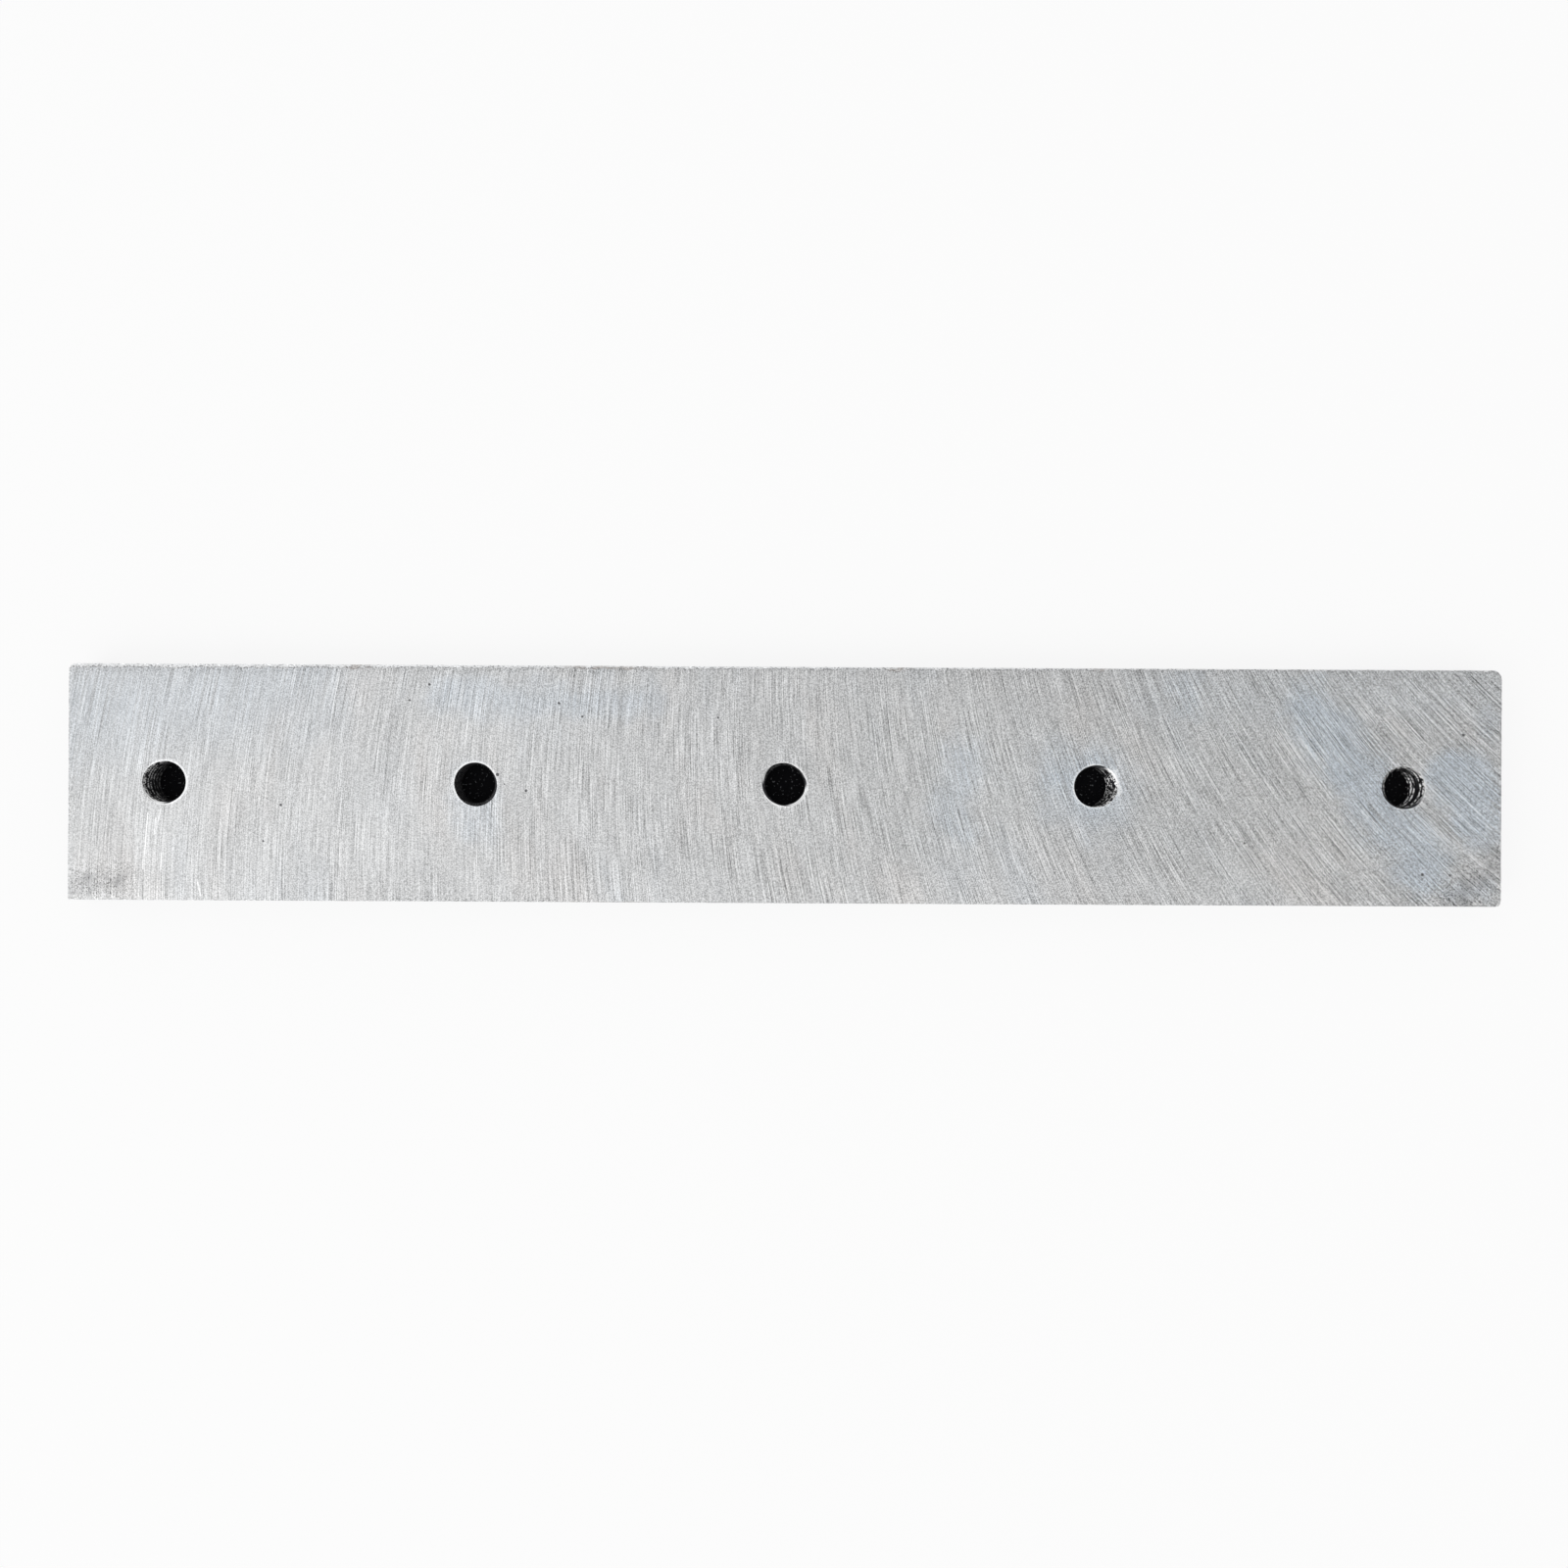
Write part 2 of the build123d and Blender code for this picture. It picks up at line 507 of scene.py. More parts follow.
def thread_turn():
    """Heights within one turn, as shares of the pitch, that the wall's rows follow."""
    flank = (MAJOR_RADIUS - CORE_RADIUS) * FLANK_SLOPE / THREAD_PITCH
    root = ROOT_FLAT / THREAD_PITCH / 2
    rise = np.linspace(0.5 - root - flank, 0.5 - root, FLANK_ROWS + 1)
    return np.concatenate(([0.0], rise, 1 - rise[::-1]))


def wall_patch(heights, place, shift=0):
    """Grid of wall points, one list of heights a column, closed round the hole.

    The shift is the number of rows that a thread climbs in going once round.
    """
    rows = len(heights[0])
    verts = []
    for column, column_heights in enumerate(heights):
        angle = 2 * math.pi * column / THREAD_COLUMNS
        verts.extend(place(angle, z) for z in column_heights)
    faces = []
    for column in range(THREAD_COLUMNS):
        last = column == THREAD_COLUMNS - 1
        near = column * rows
        far = shift if last else near + rows
        for row in range(rows - 1 - (shift if last else 0)):
            faces.append((near + row, near + row + 1, far + row + 1, far + row))
    return verts, faces


def thread_wall(centre, groove_angle, wear):
    """Patches of a tapped hole's wall, with its top and bottom loops."""
    phase = (0.5 - THICKNESS / THREAD_PITCH + groove_angle / (2 * math.pi)) % 1
    turn = thread_turn()
    turns = range(-SPARE_TURNS, math.ceil(THICKNESS / THREAD_PITCH) + SPARE_TURNS)
    levels = np.concatenate([n + turn for n in turns]) - phase
    climb = np.arange(THREAD_COLUMNS)[:, None] / THREAD_COLUMNS
    helix = np.clip((levels + climb) * THREAD_PITCH, MOUTH_DEPTH, THICKNESS - MOUTH_DEPTH)
    mouth = np.tile(np.linspace(0, MOUTH_DEPTH, MOUTH_ROWS + 1), (THREAD_COLUMNS, 1))

    def place(angle, z):
        return wall_point(centre, phase, wear, angle, z)

    patches = [
        wall_patch(mouth, place),
        wall_patch(helix, place, shift=len(turn)),
        wall_patch(THICKNESS - mouth[:, ::-1], place),
    ]
    rows = MOUTH_ROWS + 1
    bottom = patches[0][0][::rows]
    top = patches[2][0][rows - 1 :: rows]
    return patches, top, bottom


def pit_points():
    """Rings of points in and round each pit of the top face, as place and depth."""
    points = []
    for x, y, radius, depth in TOP_PITS:
        points.append((x, y, depth))
        for share in PIT_RINGS:
            for i in range(PIT_SIDES):
                angle = 2 * math.pi * i / PIT_SIDES
                cos, sin = math.cos(angle), math.sin(angle)
                uneven = PIT_UNEVENNESS * ragged(x + cos, y + sin, 0, PIT_LUMPS)
                reach = share * radius * (1 + uneven)
                points.append((x + reach * cos, y + reach * sin, depth * max(0, 1 - share**2)))
    return points


def flat_face(rim, loops, extra):
    """Triangles of a face between its rim and its hole mouths, as (x, y, depth) and faces."""
    points = []
    faces = []
    for loop in (rim, *loops):
        faces.append(list(range(len(points), len(points) + len(loop))))
        points.extend((p[0], p[1], 0.0) for p in loop)
    for x in np.arange(-HALF_LENGTH, HALF_LENGTH, FACE_GRID_STEP) + FACE_GRID_STEP / 2:
        for y in np.arange(-HALF_WIDTH, HALF_WIDTH, FACE_GRID_STEP) + FACE_GRID_STEP / 2:
            to_edge = min(HALF_LENGTH - abs(x), HALF_WIDTH - abs(y))
            to_hole = min(math.dist((x, y), centre) for centre in HOLE_CENTRES) - MAJOR_RADIUS
            to_pit = min(math.dist((x, y), pit[:2]) for pit in TOP_PITS)
            clear = to_hole > HOLE_CLEARANCE and to_pit > PIT_CLEARANCE
            if clear and to_edge > EDGE_CLEARANCE:
                points.append((x, y, 0.0))
    points.extend(extra)
    flat = [Vector(p[:2]) for p in points]
    verts, _, tris, from_points, _, from_faces = delaunay_2d_cdt(flat, [], faces, 1, SAME_POINT)
    placed = [(v.x, v.y, points[source[0]][2]) for v, source in zip(verts, from_points)]
    return placed, [tri for tri, source in zip(tris, from_faces) if source == [0]]


class Shell:
    """Vertices and faces of one closed surface, gathered patch by patch."""

    def __init__(self):
        self.verts = []
        self.faces = []
        self.materials = []
        self.smooth = []

    def add(self, verts, faces, material, smooth=True):
        start = len(self.verts)
        self.verts.extend(Vector(v) * MM for v in verts)
        self.faces.extend([tuple(start + i for i in face) for face in faces])
        self.materials.extend([material] * len(faces))
        self.smooth.extend([smooth] * len(faces))

    def to_object(self, name, materials):
        mesh = bpy.data.meshes.new(name)
        mesh.from_pydata(self.verts, [], self.faces)
        for material in materials:
            mesh.materials.append(material)
        mesh.polygons.foreach_set("material_index", self.materials)
        mesh.polygons.foreach_set("use_smooth", self.smooth)
        made = bmesh.new()
        made.from_mesh(mesh)
        bmesh.ops.remove_doubles(made, verts=made.verts, dist=SAME_POINT)
        bmesh.ops.recalc_face_normals(made, faces=made.faces)
        made.to_mesh(mesh)
        made.free()
        mesh.set_sharp_from_angle(angle=SHARP_ANGLE)
        piece = bpy.data.objects.new(name, mesh)
        bpy.context.collection.objects.link(piece)
        return piece


def knife_bar(materials):
    """The whole bar as one closed surface."""
    shell = Shell()
    rings = edge_rings()
    count = len(rings[0])
    quads = [(i, (i + 1) % count, count + (i + 1) % count, count + i) for i in range(count)]
    for k, (upper, lower) in enumerate(zip(rings, rings[1:])):
        shell.add(np.vstack((upper, lower)), quads, WORN if k < LAND_ROWS - 1 else SIDE)
    tops, bottoms = [], []
    for centre, degrees, wear in zip(HOLE_CENTRES, GROOVE_ANGLES_DEG, MOUTH_WEAR):
        patches, top, bottom = thread_wall(centre, math.radians(degrees), wear)
        for verts, faces in patches:
            shell.add(verts, faces, THREAD)
        tops.append(top)
        bottoms.append(bottom)
    verts, tris = flat_face(rings[0], tops, pit_points())
    placed = [(x, y, THICKNESS - depth) for x, y, depth in verts]
    sunk = [any(verts[i][2] > 0 for i in tri) for tri in tris]
    shell.add(placed, [tri for tri, low in zip(tris, sunk) if not low], GROUND, smooth=False)
    shell.add(placed, [tri for tri, low in zip(tris, sunk) if low], PIT)
    verts, tris = flat_face(rings[-1], bottoms, [])
    shell.add([(x, y, 0.0) for x, y, _ in verts], tris, UNDERSIDE, smooth=False)
    return shell.to_object("ground_bar", materials)


class Graph:
    """A material's node tree, written as expressions."""

    def __init__(self, name):
        self.material = bpy.data.materials.new(name)
        self.material.use_nodes = True
        self.tree = self.material.node_tree
        self.tree.nodes.clear()

    def node(self, kind, **settings):
        made = self.tree.nodes.new(kind)
        for key, value in settings.items():
            setattr(made, key, value)
        return made

    def feed(self, socket, value):
        if isinstance(value, bpy.types.NodeSocket):
            self.tree.links.new(value, socket)
        else:
            socket.default_value = value

    def operate(self, kind, operation, values):
        made = self.node(kind, operation=operation)
        for socket, value in zip(made.inputs, values):
            self.feed(socket, value)
        return made.outputs

    def math(self, operation, *values):
        return self.operate("ShaderNodeMath", operation, values)[0]

    def vector_math(self, operation, *values):
        return self.operate("ShaderNodeVectorMath", operation, values)

    def add(self, *values):
        total = values[0]
        for value in values[1:]:
            total = self.math("ADD", total, value)
        return total

    def scaled(self, value, factor):
        return self.math("MULTIPLY", value, factor)

    def place(self):
        """Object coordinates in millimetres."""
        coords = self.node("ShaderNodeTexCoord").outputs["Object"]
        return self.vector_math("MULTIPLY", coords, (1 / MM, 1 / MM, 1 / MM))[0]

    def split(self, vector):
        made = self.node("ShaderNodeSeparateXYZ")
        self.feed(made.inputs[0], vector)
        return made.outputs

    def vector(self, x, y, z=0.0):
        made = self.node("ShaderNodeCombineXYZ")
        for socket, value in zip(made.inputs, (x, y, z)):
            self.feed(socket, value)
        return made.outputs[0]

    def noise(self, coords, lumps):
        spread = tuple(1 / size for size in lumps.cell)
        made = self.node("ShaderNodeTexNoise")
        placed = self.vector_math("MULTIPLY_ADD", coords, spread, (0, 0, lumps.level))[0]
        self.feed(made.inputs["Vector"], placed)
        made.inputs["Scale"].default_value = 1.0
        made.inputs["Detail"].default_value = lumps.detail
        return made.outputs["Fac"]

    def swing(self, value, amount):
        """The value's distance from one half, times the amount."""
        return self.math("MULTIPLY_ADD", value, amount, -amount / 2)

    def smoothstep(self, value, low, high):
        made = self.node("ShaderNodeMapRange", interpolation_type="SMOOTHSTEP")
        self.feed(made.inputs["Value"], value)
        made.inputs["From Min"].default_value = low
        made.inputs["From Max"].default_value = high
        return made.outputs[0]

    def mix(self, factor, first, second):
        made = self.node("ShaderNodeMix", data_type="RGBA")
        self.feed(made.inputs["Factor"], factor)
        for socket, value in zip((made.inputs[6], made.inputs[7]), (first, second)):
            self.feed(socket, value if isinstance(value, bpy.types.NodeSocket) else (*value, 1))
        return made.outputs[2]

    def brighten(self, colour, amount):
        """The colour times one plus the amount."""
        made = self.node("ShaderNodeVectorMath", operation="SCALE")
        self.feed(made.inputs[0], colour)
        self.feed(made.inputs["Scale"], self.add(amount, 1.0))
        return made.outputs[0]

    def warped(self, coords):
        """The coordinates pushed about by noise, for outlines that aren't smooth."""
        pushes = [self.swing(self.noise(coords, lumps), 2 * TINT_WARP) for lumps in TINT_PUSHES]
        return self.vector_math("ADD", coords, self.vector(*pushes))[0]

    def from_hole(self, coords):
        """X and Y measured from the nearest hole's axis."""
        x, y, _ = self.split(coords)
        return self.math("WRAP", x, HOLE_PITCH / 2, -HOLE_PITCH / 2), y

    def hole_radius(self, coords):
        """Distance from the nearest hole's axis."""
        x, y = self.from_hole(coords)
        squared = self.add(self.math("MULTIPLY", x, x), self.math("MULTIPLY", y, y))
        return self.math("SQRT", squared)

    def heavier(self, x):
        """Strength of the grinding marks, which grows towards the right end."""
        return self.math("MULTIPLY_ADD", x, HEAVIER_TO_THE_RIGHT, MARKS_STRENGTH)

    def near_line(self, coords, start, end, width):
        """One on the line from start to end, falling to nothing half a width away."""
        start = Vector((*start, THICKNESS))
        step = Vector((*end, THICKNESS)) - start
        from_start = self.vector_math("SUBTRACT", coords, start)[0]
        share = self.vector_math("DOT_PRODUCT", from_start, step / step.length_squared)["Value"]
        share = self.math("MINIMUM", self.math("MAXIMUM", share, 0.0), 1.0)
        nearest = self.vector_math("MULTIPLY", self.vector(share, share, share), step)[0]
        away = self.vector_math("SUBTRACT", from_start, nearest)[0]
        distance = self.vector_math("LENGTH", away)["Value"]
        return self.smoothstep(distance, width / 2, 0.0)

    def strongest(self, coords, patches, shown=0.0):
        """The strongest of the patches at each place, or what is shown there already."""
        for start, end, width, strength in patches:
            patch = self.scaled(self.near_line(coords, start, end, width), strength)
            shown = self.math("MAXIMUM", patch, shown)
        return shown

    def bump(self, height, depth_mm):
        made = self.node("ShaderNodeBump")
        self.feed(made.inputs["Height"], height)
        made.inputs["Distance"].default_value = depth_mm * MM
        return made.outputs[0]

    def steel(self, colour, roughness, normal):
        shader = self.node("ShaderNodeBsdfPrincipled")
        shader.inputs["Metallic"].default_value = 1.0
        self.feed(shader.inputs["Base Color"], colour)
        self.feed(shader.inputs["Roughness"], roughness)
        self.feed(shader.inputs["Normal"], normal)
        self.finish(shader.outputs[0])
        return self.material

    def finish(self, shader):
        output = self.node("ShaderNodeOutputMaterial")
        self.feed(output.inputs["Surface"], shader)


class Grinding(NamedTuple):
    """Patterns of a ground face, each an output of the nodes that make it."""

    fine: bpy.types.NodeSocket
    feed: bpy.types.NodeSocket
    glints: bpy.types.NodeSocket
    scores: bpy.types.NodeSocket
    grain: bpy.types.NodeSocket
    bundles: bpy.types.NodeSocket
    specks: bpy.types.NodeSocket


def wheel_marks(g, coords, table_axis):
    """Coordinates across and along the wheel's arcs, in millimetres.

    Every arc is part of a wheel circle whose centre goes round the table axis, so the
    angle at which that centre stood is the same all along one arc.
    """
    from_axis = g.vector_math("SUBTRACT", coords, (*table_axis, 0.0))[0]
    dx, dy, _ = g.split(from_axis)
    squared = g.add(g.math("MULTIPLY", dx, dx), g.math("MULTIPLY", dy, dy))
    reach = g.math("SQRT", squared)
    bearing = g.math("ARCTAN2", dy, dx)
    over = g.add(squared, WHEEL_OFFSET**2 - WHEEL_RADIUS**2)
    under = g.scaled(reach, 2 * WHEEL_OFFSET)
    swing = g.math("ARCCOSINE", g.math("DIVIDE", over, under))
    return g.vector(g.scaled(g.add(bearing, swing), ARC_SPREAD), reach)


def face_tint(g, coords, marks, feed, blue_tints):
    """A ground face's colour under its marks: warm and blue patches, and blue tints with warped
    outlines.
    """
    patches = g.noise(marks, TINT_PATCHES)
    tint = g.mix(g.smoothstep(patches, *WARM_FADE), FACE_COLOUR, FACE_WARM)
    blue = g.scaled(g.smoothstep(patches, *BLUE_FADE), PATCH_BLUE)
    blue = g.strongest(g.warped(coords), blue_tints, blue)
    blue = g.math("MULTIPLY", blue, g.math("MULTIPLY_ADD", feed, *BLUE_IN_MARKS))
    return g.mix(blue, tint, FACE_BLUE)


def mouth_highlight(g, coords, x):
    """Painted highlight: gain in brightness in the ring round each mouth."""
    ring = g.smoothstep(g.hole_radius(coords), MOUTH_RADIUS + RING_HIGHLIGHT_WIDTH, MOUTH_RADIUS)
    right = g.smoothstep(x, *RIGHT_HAND_HOLE)
    gain = g.math("MULTIPLY_ADD", right, -RING_HIGHLIGHT_LOSS * RING_HIGHLIGHT_GAIN, RING_HIGHLIGHT_GAIN)
    return g.math("MULTIPLY", ring, gain)


def grinding(g, coords, marks):
    """Patterns that grinding leaves: marks along the wheel's arcs, grain and specks."""
    return Grinding(
        fine=g.smoothstep(g.noise(marks, FINE_MARKS), *MARK_FADE),
        feed=g.smoothstep(g.noise(marks, FEED_MARKS), *MARK_FADE),
        # Glints: rare bright lines along the marks, painted highlights
        glints=g.smoothstep(g.noise(marks, GLINTS), *SCORE_FADE),
        scores=g.smoothstep(g.noise(marks, SCORES), *SCORE_FADE),
        grain=g.noise(marks, GRAIN),
        bundles=g.noise(marks, BUNDLES),
        specks=g.noise(coords, SPECKS),
    )


def grinding_shade(g, x, ground, grime):
    """How far the patterns change the brightness, more to the right and where it's dirty."""
    lines = g.add(
        g.swing(ground.fine, FINE_SHADE),
        g.swing(ground.feed, FEED_SHADE),
        # the glints brighten the colour as painted highlights
        g.scaled(ground.glints, SCORE_SHADE),
        g.scaled(ground.scores, -SCORE_SHADE),
    )
    lines = g.math("MULTIPLY", lines, g.smoothstep(ground.bundles, *BUNDLE_FADE))
    spotted = g.smoothstep(ground.specks, *MARK_FADE)
    speckle = g.add(g.swing(ground.grain, GRAIN_SHADE), g.swing(spotted, SPECK_SHADE))
    heavier = g.heavier(x)
    return g.add(
        g.math("MULTIPLY", lines, heavier),
        g.math("MULTIPLY", speckle, g.add(heavier, grime)),
        g.swing(ground.bundles, BUNDLE_SHADE),
    )


def grinding_height(g, ground):
    """Relief of the patterns, in which the dark scores are cut deeper."""
    return g.add(
        ground.fine,
        ground.feed,
        ground.glints,
        g.scaled(ground.grain, GRAIN_RELIEF_SHARE),
        g.scaled(ground.specks, GRAIN_RELIEF_SHARE),
        g.scaled(ground.scores, -1.0),
    )


def pinholes(g, coords, specks, grime):
    """Share of dark specks, with more of them where the face is dirty and in clusters."""
    clusters = g.smoothstep(g.noise(coords, SPECK_CLUSTERS), *CLUSTER_FADE)
    raised = g.add(specks, g.scaled(grime, GRIME_SPECKS), g.scaled(clusters, CLUSTER_SPECKS))
    return g.scaled(g.smoothstep(raised, *SPECK_FADE), SPECK_COVER)


def ground_face(name, table_axis, scratches_and_glints=(), blue_tints=(), painted_light=(), dirt=()):
    """Face ground on a rotary table: a fan of curved marks, grain, blue tints and dirt, with
    painted glints, painted sheen and painted shade.
    """
    g = Graph(name)
    coords = g.place()
    x = g.split(coords)[0]
    marks = wheel_marks(g, coords, table_axis)
    ground = grinding(g, coords, marks)
    grime = g.strongest(coords, dirt)
    shade = grinding_shade(g, x, ground, grime)
    # Scratches, painted glints, and patches of painted sheen and painted shade change the
    # brightness
    for start, end, width, change in (*scratches_and_glints, *painted_light):
        shade = g.add(shade, g.scaled(g.near_line(coords, start, end, width), change))
    # Dirt darkens the face, and a painted highlight brightens the ring round each mouth
    shade = g.add(shade, g.scaled(grime, GRIME_SHADE), mouth_highlight(g, coords, x))
    colour = g.brighten(face_tint(g, coords, marks, ground.feed, blue_tints), shade)
    colour = g.mix(pinholes(g, coords, ground.specks, grime), colour, SPECK_COLOUR)
    roughness = g.math("MULTIPLY_ADD", ground.grain, *FACE_ROUGHNESS)
    return g.steel(colour, roughness, g.bump(grinding_height(g, ground), FINE_RELIEF))


def ground_side():
    """Long edges and ends: fine lengthwise grinding lines, with a few dull streaks and specks."""
    g = Graph("ground_side")
    coords = g.place()
    x, y, z = g.split(coords)
    unrolled = g.vector(g.add(x, y), z)
    fine = g.smoothstep(g.noise(unrolled, SIDE_LINES), *MARK_FADE)
    broad = g.noise(unrolled, SIDE_BANDS)
    streaks = g.noise(unrolled, SIDE_STREAKS)
    specks = g.noise(coords, SIDE_SPECKS)
    dull = g.scaled(g.smoothstep(streaks, *STREAK_FADE), SIDE_DULLNESS)
    shade = g.add(
        g.swing(fine, SIDE_LINE_SHADE),
        g.swing(broad, SIDE_BAND_SHADE),
        g.swing(specks, SIDE_SPECK_SHADE),
    )
    colour = g.brighten(g.mix(dull, SIDE_COLOUR, SIDE_DULL), shade)
    specked = g.scaled(g.smoothstep(specks, *SPECK_FADE), SPECK_COVER)
    colour = g.mix(specked, colour, SPECK_COLOUR)
    height = g.add(fine, g.scaled(specks, SIDE_SPECK_RELIEF_SHARE))
    roughness = g.math("MULTIPLY_ADD", streaks, *SIDE_ROUGHNESS)
    return g.steel(colour, roughness, g.bump(height, FINE_RELIEF))


def rust_share(g, coords, x):
    """Share of rust on the worn edge, in blotches about the rust spots."""
    rust = 0.0
    for place, reach in RUST_SPOTS:
        away = g.math("ABSOLUTE", g.math("SUBTRACT", x, place))
        rust = g.math("MAXIMUM", g.smoothstep(away, reach, RUST_CORE * reach), rust)
    blotches = g.smoothstep(g.noise(coords, RUST_BLOTCHES), *BLOTCH_FADE)
    return g.scaled(g.math("MULTIPLY", rust, blotches), RUST_COVER)


def worn_edge():
    """Worn strip along the edges: bright outside, rough and specked where it meets the face, with
    bright flecks that are painted glints.
    """
    g = Graph("worn_edge")
    coords = g.place()
    x, _, z = g.split(coords)
    inner = g.smoothstep(g.math("SUBTRACT", THICKNESS, z), *EDGE_INNER_DROP)
    grit = g.noise(coords, EDGE_GRIT)
    lumps = g.noise(coords, EDGE_LUMPS)
    colour = g.mix(inner, LAND_BRIGHT, LAND_ROUGH)
    colour = g.brighten(colour, g.swing(lumps, EDGE_LUMP_SHADE))
    # Bright flecks on the strip: painted glints
    colour = g.mix(g.smoothstep(grit, *EDGE_GLINT_FADE), colour, LAND_BRIGHT)
    grit_inside = g.math("MULTIPLY_ADD", inner, EDGE_SPECKS_INSIDE, grit)
    specked = g.scaled(g.smoothstep(grit_inside, *EDGE_SPECK_FADE), EDGE_SPECK_COVER)
    colour = g.mix(specked, colour, SPECK_COLOUR)
    colour = g.mix(rust_share(g, coords, x), colour, RUST)
    roughness = g.math("MULTIPLY_ADD", grit, *EDGE_ROUGHNESS)
    return g.steel(colour, roughness, g.bump(g.add(grit, lumps), EDGE_RELIEF))


def torn_flanks(g, coords, radius):
    """Noise of a tapped wall's torn metal, and the share of its flanks that it lays bare."""
    x, _, z = g.split(coords)
    across, y = g.from_hole(coords)
    around = g.scaled(g.math("ARCTAN2", y, across), CORE_RADIUS)
    wall = g.vector(around, z, x)
    torn = g.noise(wall, TORN_FLANKS)
    bands = g.noise(wall, TORN_BANDS)
    grit = g.noise(coords, THREAD_GRIT)
    bare = g.smoothstep(radius, CORE_RADIUS + DARK_CREST_REACH, CORE_RADIUS + FLANK_START)
    for value, fade in ((torn, TORN_FADE), (bands, BAND_FADE), (grit, THREAD_GRIT_FADE)):
        bare = g.math("MULTIPLY", bare, g.smoothstep(value, *fade))
    return torn, bare


def bright_flank_share(g, x, z):
    """How bright the bare flanks are: brighter to the right, and high in the left-hand hole."""
    bright_share = g.math("MULTIPLY_ADD", g.smoothstep(x, *BRIGHT_SIDE), *BRIGHT_GAIN)
    high = g.smoothstep(z, LEFT_HOLE_DARK_Z, THICKNESS)
    left = g.math("MULTIPLY", g.smoothstep(x, *LEFT_HAND_HOLE), high)
    bright_share = g.math("MULTIPLY_ADD", left, LEFT_HOLE_BRIGHT, bright_share)
    off_band = g.math("ABSOLUTE", g.math("SUBTRACT", z, DARK_BAND_Z))
    dark_band = g.smoothstep(off_band, *DARK_BAND_FADE)
    dark_band = g.math("MULTIPLY", dark_band, g.smoothstep(x, *RIGHT_HAND_HOLE))
    return g.math("MULTIPLY", bright_share, g.math("SUBTRACT", 1.0, dark_band))


def mouth_share(g, z):
    """One on the cones of a hole's mouths and nothing on its wall."""
    depth = g.math("MINIMUM", z, g.math("SUBTRACT", THICKNESS, z))
    near = g.smoothstep(depth, MOUTH_BREAK, MOUTH_BREAK - MOUTH_FADE)
    normal = g.split(g.node("ShaderNodeNewGeometry").outputs["Normal"])[2]
    outward = g.math("MULTIPLY", normal, g.math("SIGN", g.math("SUBTRACT", z, THICKNESS / 2)))
    return g.math("MULTIPLY", near, g.smoothstep(outward, *MOUTH_FACING))


def thread_steel():
    """Tapped walls: near black crests, torn flanks that are bare in places, and ringed mouths
    bright in places, partly as painted highlights.
    """
    g = Graph("thread_steel")
    coords = g.place()
    x, _, z = g.split(coords)
    radius = g.hole_radius(coords)
    torn, bare = torn_flanks(g, coords, radius)
    wall = g.mix(g.math("MULTIPLY", bare, bright_flank_share(g, x, z)), THREAD_DARK, THREAD_BARE)
    turns = g.scaled(radius, 2 * math.pi / MOUTH_RING_PITCH)
    rings = g.math("MULTIPLY_ADD", g.math("SINE", turns), *MOUTH_RING_SHADE)
    # Bright parts of the mouths are partly painted highlights; the rest of each mouth is near black
    shown = g.math("MULTIPLY", g.strongest(coords, BARE_AND_LIT_MOUTHS), rings)
    mouth = mouth_share(g, z)
    colour = g.mix(mouth, wall, g.mix(shown, MOUTH_DARK, MOUTH_BARE_AND_LIT))
    roughness = g.math("MULTIPLY_ADD", torn, *WALL_ROUGHNESS)
    roughness = g.math("MULTIPLY_ADD", mouth, MOUTH_ROUGHNESS_GAIN, roughness)
    return g.steel(colour, roughness, g.bump(torn, WALL_RELIEF))


def pit_steel():
    """Inside of the small pits: dark oxide with a few brighter grains."""
    g = Graph("pit_steel")
    grains = g.noise(g.place(), PIT_GRAINS)
    colour = g.mix(g.smoothstep(grains, *PIT_GRAIN_FADE), PIT_DARK, PIT_GRAIN_COLOUR)
    roughness = g.math("MULTIPLY_ADD", grains, *PIT_ROUGHNESS)
    return g.steel(colour, roughness, g.bump(grains, PIT_RELIEF))


def dark_mat():
    """Near black sheet under the bar, seen only through the holes, which it makes near black, with
    a little pale dust on it.
    """
    g = Graph("dark_mat")
    dust = g.smoothstep(g.noise(g.place(), MAT_DUST), *DUST_FADE)
    shader = g.node("ShaderNodeBsdfPrincipled")
    g.feed(shader.inputs["Base Color"], g.mix(dust, MAT_COLOUR, DUST_COLOUR))
    shader.inputs["Roughness"].default_value = MAT_ROUGHNESS
    shader.inputs["Specular IOR Level"].default_value = MAT_SPECULAR
    g.finish(shader.outputs[0])
    return g.material


def white_floor():
    """Pale floor that the camera and reflections see as white, with the bar's shadow near it."""
    g = Graph("white_floor")
    away = g.vector_math("LENGTH", g.place())["Value"]
    far = g.smoothstep(away, *FLOOR_GLOW_FULL)
    glowing = g.math("MULTIPLY_ADD", far, 1 - FLOOR_GLOW, FLOOR_GLOW)
    diffuse = g.node("ShaderNodeBsdfDiffuse")
    g.feed(diffuse.inputs["Color"], FLOOR_COLOUR)
    glow = g.node("ShaderNodeEmission")
    g.feed(glow.inputs["Strength"], 1.0)
    path = g.node("ShaderNodeLightPath")
    seen = g.math("MAXIMUM", path.outputs["Is Camera Ray"], path.outputs["Is Glossy Ray"])
    seen = g.math("MAXIMUM", seen, path.outputs["Is Transmission Ray"])
    both = g.node("ShaderNodeMixShader")
    g.feed(both.inputs[0], g.math("MULTIPLY", seen, glowing))
    g.feed(both.inputs[1], diffuse.outputs[0])
    g.feed(both.inputs[2], glow.outputs[0])
    g.finish(both.outputs[0])
    return g.material


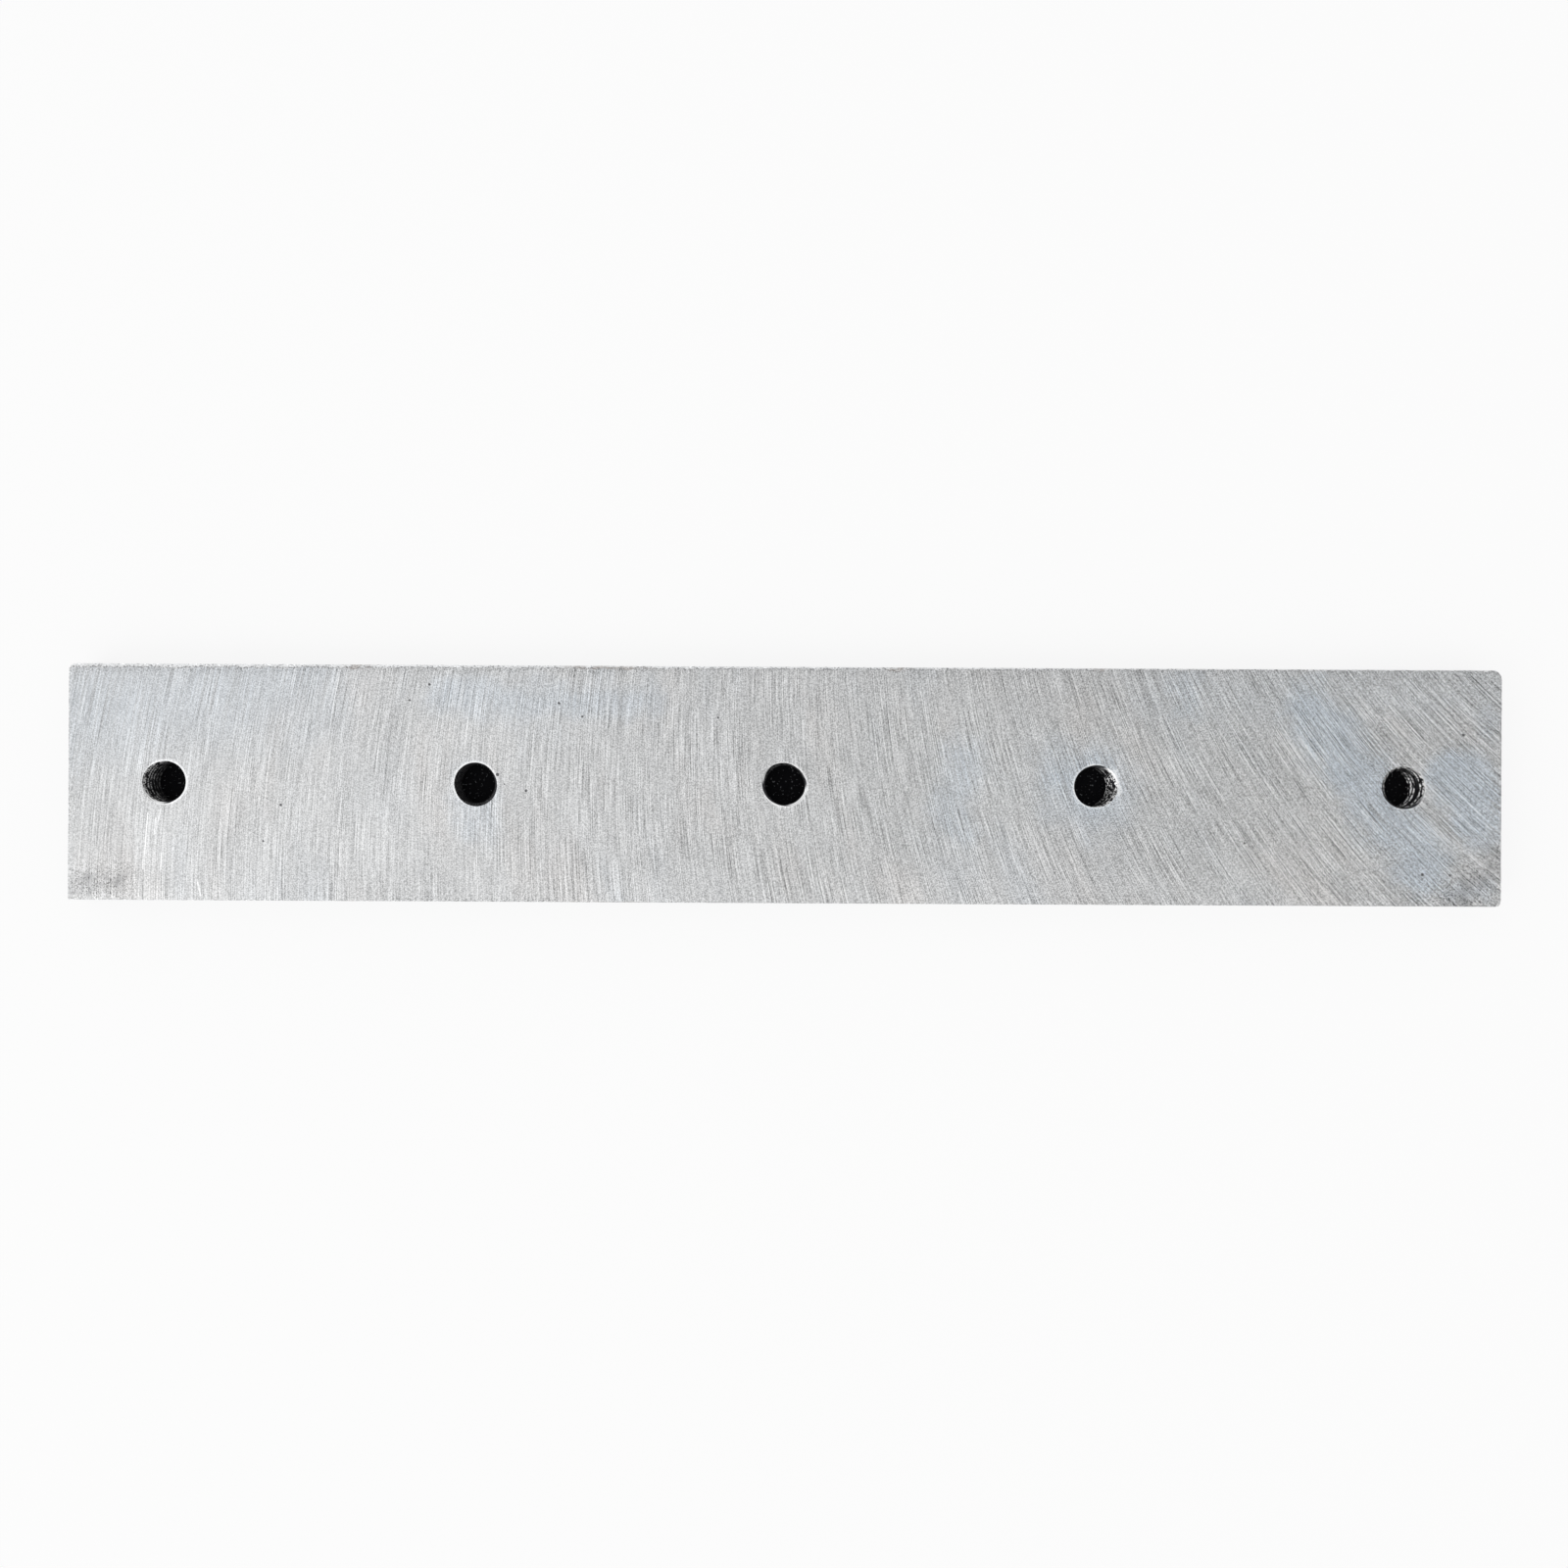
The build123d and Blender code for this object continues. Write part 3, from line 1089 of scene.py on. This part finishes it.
def sheet(name, half_x, half_y, z, material):
    """A flat rectangle of the stage, in millimetres."""
    corners = ((-half_x, -half_y), (half_x, -half_y), (half_x, half_y), (-half_x, half_y))
    mesh = bpy.data.meshes.new(name)
    mesh.from_pydata([Vector((px, py, z)) * MM for px, py in corners], [], [(0, 1, 2, 3)])
    mesh.materials.append(material)
    made = bpy.data.objects.new(name, mesh)
    bpy.context.collection.objects.link(made)


def softbox(name, place, size, radiance):
    """A square area lamp at a place in metres, aimed at the bar."""
    lamp = bpy.data.lights.new(name, "AREA")
    lamp.size = size
    lamp.energy = radiance * math.pi * size**2
    made = bpy.data.objects.new(name, lamp)
    made.location = place
    made.rotation_euler = (-Vector(place)).to_track_quat("-Z", "Y").to_euler()
    bpy.context.collection.objects.link(made)


def surroundings():
    """A plain world: white to the camera, and to the bar brighter on the left and in front."""
    world = bpy.data.worlds.new("surroundings")
    world.use_nodes = True
    tree = world.node_tree
    background = tree.nodes["Background"]
    background.inputs["Color"].default_value = (1, 1, 1, 1)
    direction = tree.nodes.new("ShaderNodeSeparateXYZ")
    coords = tree.nodes.new("ShaderNodeTexCoord")
    tree.links.new(coords.outputs["Generated"], direction.inputs[0])
    light = tree.nodes.new("ShaderNodeMath")
    light.operation = "MULTIPLY"
    for factor, (axis, (low, high, begin, end)) in zip(light.inputs, LIGHT_SWEEPS.items()):
        sweep = tree.nodes.new("ShaderNodeMapRange")
        sweep.interpolation_type = "SMOOTHSTEP"
        tree.links.new(direction.outputs[axis], sweep.inputs["Value"])
        sweep.inputs["From Min"].default_value = begin
        sweep.inputs["From Max"].default_value = end
        sweep.inputs["To Min"].default_value = low
        sweep.inputs["To Max"].default_value = high
        tree.links.new(sweep.outputs[0], factor)
    path = tree.nodes.new("ShaderNodeLightPath")
    level = tree.nodes.new("ShaderNodeMapRange")
    tree.links.new(path.outputs["Is Camera Ray"], level.inputs["Value"])
    tree.links.new(light.outputs[0], level.inputs["To Min"])
    level.inputs["To Max"].default_value = 1.0
    tree.links.new(level.outputs[0], background.inputs["Strength"])
    bpy.context.scene.world = world


def photo_camera():
    """The photograph's camera: straight down, with the frame shifted onto the bar."""
    frame_width = PHOTO_SIZE_PX / PX_PER_MM
    data = bpy.data.cameras.new("photo_camera")
    data.sensor_width = SENSOR_WIDTH
    data.lens = SENSOR_WIDTH * CAMERA_HEIGHT / frame_width
    roll = math.radians(CAMERA_ROLL_DEG)
    off_x = (PHOTO_SIZE_PX / 2 - BAR_CENTRE_PX[0]) / PHOTO_SIZE_PX
    off_y = (BAR_CENTRE_PX[1] - PHOTO_SIZE_PX / 2) / PHOTO_SIZE_PX
    data.shift_x = off_x - CAMERA_X * math.cos(roll) / frame_width
    data.shift_y = off_y + CAMERA_X * math.sin(roll) / frame_width
    camera = bpy.data.objects.new("photo_camera", data)
    camera.location = Vector((CAMERA_X, 0, THICKNESS + CAMERA_HEIGHT)) * MM
    camera.rotation_euler = (0, 0, roll)
    bpy.context.collection.objects.link(camera)
    bpy.context.scene.camera = camera


photo_camera()

finishes = [
    ground_face("ground_top", TABLE_AXIS_TOP, SCRATCHES_AND_GLINTS, BLUE_TINTS, PAINTED_LIGHT_PATCHES, DIRTY_PATCHES),
    ground_face("ground_underside", TABLE_AXIS_UNDER),
    ground_side(),
    worn_edge(),
    thread_steel(),
    pit_steel(),
]
bar = knife_bar(finishes)
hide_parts("knife_bar")
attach(bar, "root")

sheet("floor", FLOOR_HALF, FLOOR_HALF, -FLOOR_DROP, white_floor())
sheet("dark_mat", HALF_LENGTH - MAT_INSET, HALF_WIDTH - MAT_INSET, -MAT_DROP, dark_mat())
surroundings()
softbox("key", KEY_PLACE, KEY_SIZE, KEY_RADIANCE)
bpy.context.scene.view_settings.view_transform = "Standard"
